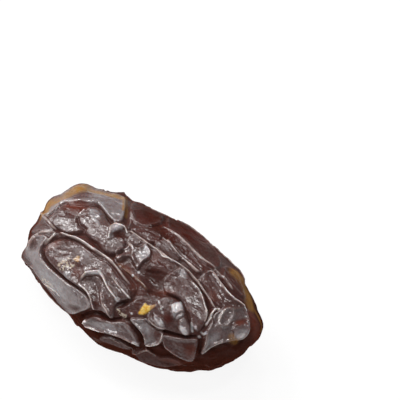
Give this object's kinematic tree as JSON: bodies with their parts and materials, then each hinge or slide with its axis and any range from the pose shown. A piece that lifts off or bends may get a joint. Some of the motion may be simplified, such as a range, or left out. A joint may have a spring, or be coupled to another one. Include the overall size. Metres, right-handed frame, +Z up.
{
  "type": "medjool date",
  "caption": "Dried medjool date with a wrinkled, glossy dark skin, lying on its side on a small flat spot.",
  "frame": {"origin": "on the surface the fruit lies on, under the middle of the box that holds the fruit", "axes": "+X along the fruit towards the tip, away from the stem end; +Y across it; +Z up"},
  "size_m": [0.0514, 0.0284, 0.0204],
  "materials": {
    "skin": "wrinkled and sticky, dark red-brown with a soft grey gloss on the raised skin"
  },
  "bodies": {
    "root": {"date": "skin"}
  },
  "joints": []
}
